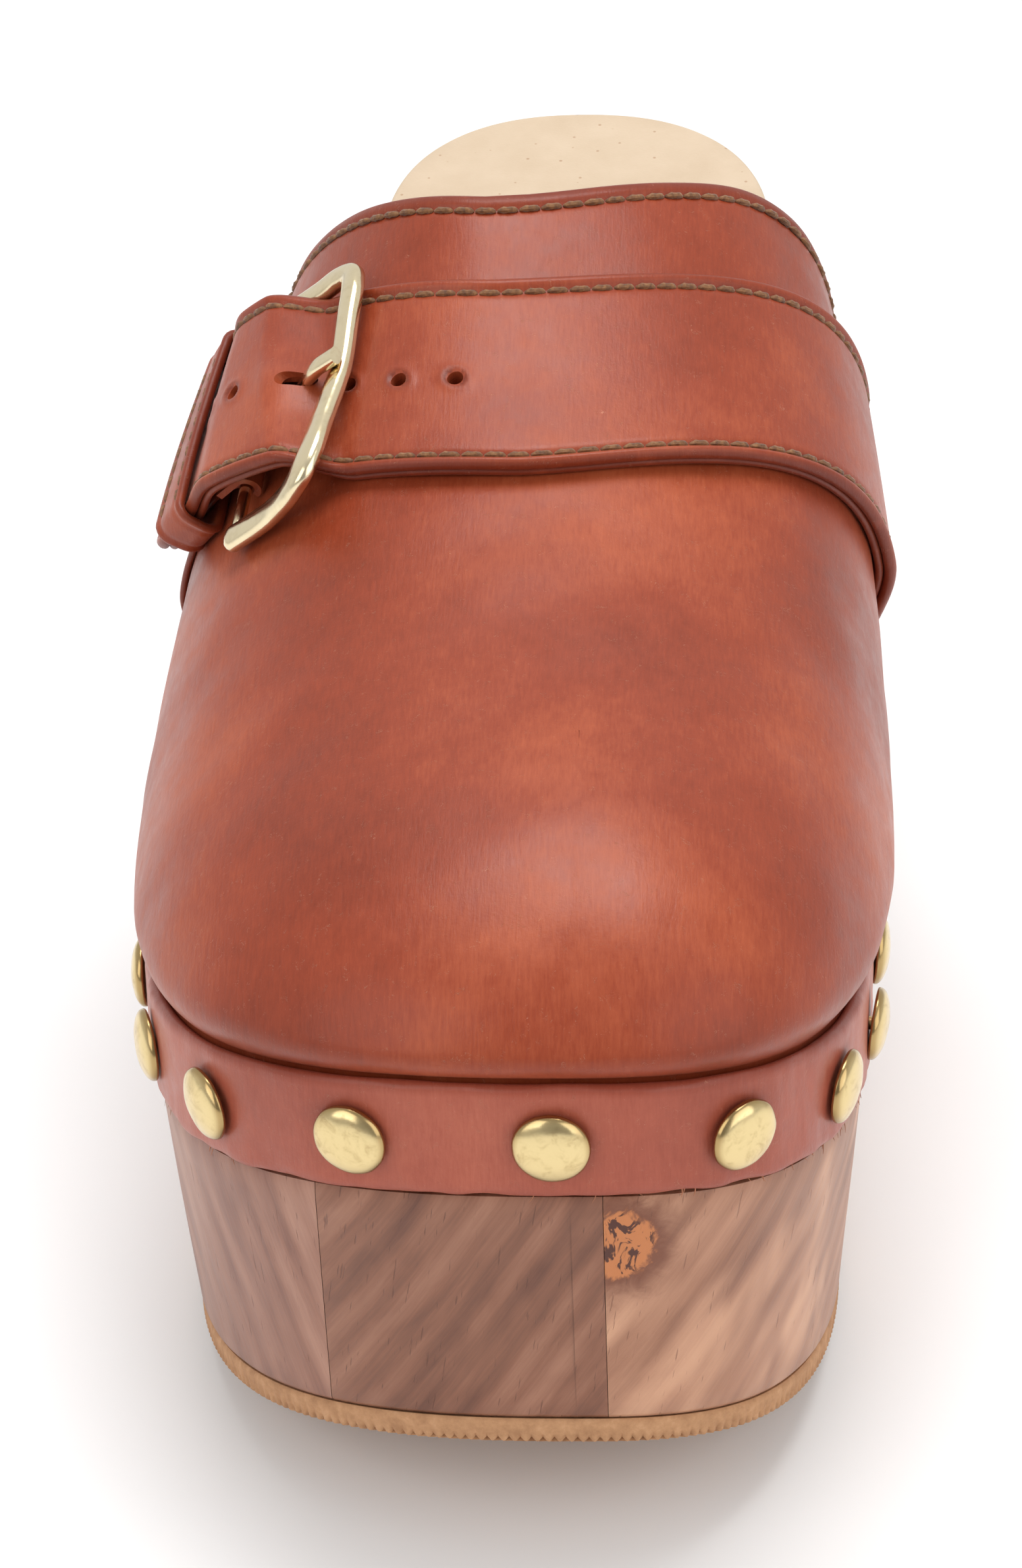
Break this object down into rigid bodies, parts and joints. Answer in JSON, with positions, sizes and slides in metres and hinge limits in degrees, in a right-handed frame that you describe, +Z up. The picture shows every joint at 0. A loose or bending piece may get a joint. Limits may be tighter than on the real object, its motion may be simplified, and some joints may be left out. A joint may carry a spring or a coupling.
{
  "type": "wooden clog",
  "caption": "Open-backed platform clog: leather upper nailed to a curved, arched wooden sole with a high heel, and a buckled instep strap.",
  "frame": {"origin": "on the ground under the middle of the whole shoe's box", "axes": "+Y towards the heel, -Y towards the toe, +Z up, -X towards the outer side where the buckle is, +X towards the inner side (a right shoe)"},
  "size_m": [0.1066, 0.2513, 0.1349],
  "materials": {
    "walnut": "oiled, satin",
    "pale_walnut": "oiled, satin, sapwood",
    "rubber": "matt gum rubber",
    "cognac_leather": "waxed, satin",
    "rand_leather": "waxed, satin",
    "natural_leather": "matt vegetable-tanned",
    "lining": "matt",
    "stiffener": "stiffened felt",
    "brass": "aged, satin",
    "pale_gold": "polished"
  },
  "bodies": {
    "shoe": {"sole_stave_outer": "walnut", "sole_stave_middle": "walnut", "sole_stave_inner": "pale_walnut", "forefoot_tread": "rubber", "heel_tread": "rubber", "insole_sock": "natural_leather", "vamp": "cognac_leather", "toe_puff": "stiffener", "vamp_lining": "lining", "rand": "rand_leather", "dome_nail_01": "brass", "dome_nail_02": "brass", "dome_nail_03": "brass", "dome_nail_04": "brass", "dome_nail_05": "brass", "dome_nail_06": "brass", "dome_nail_07": "brass", "dome_nail_08": "brass", "dome_nail_09": "brass", "dome_nail_10": "brass", "dome_nail_11": "brass", "dome_nail_12": "brass", "dome_nail_13": "brass", "belt_top": "cognac_leather", "belt_lining": "cognac_leather", "belt_chape": "cognac_leather", "belt_keeper": "cognac_leather"},
    "buckle": {"buckle_frame": "pale_gold", "buckle_pin": "pale_gold"},
    "prong": {"buckle_prong": "pale_gold"}
  },
  "joints": [
    {"name": "buckle_hinge", "type": "hinge", "parent": "shoe", "child": "buckle", "pos_m": [-0.03637, -0.00479, 0.10954], "axis": [-0.1025, -0.9086, -0.4049], "range_deg": [0, 5]},
    {"name": "prong_hinge", "type": "hinge", "parent": "buckle", "child": "prong", "pos_m": [-0.03637, -0.00479, 0.10954], "axis": [-0.1025, -0.9086, -0.4049], "range_deg": [0, 7]}
  ]
}
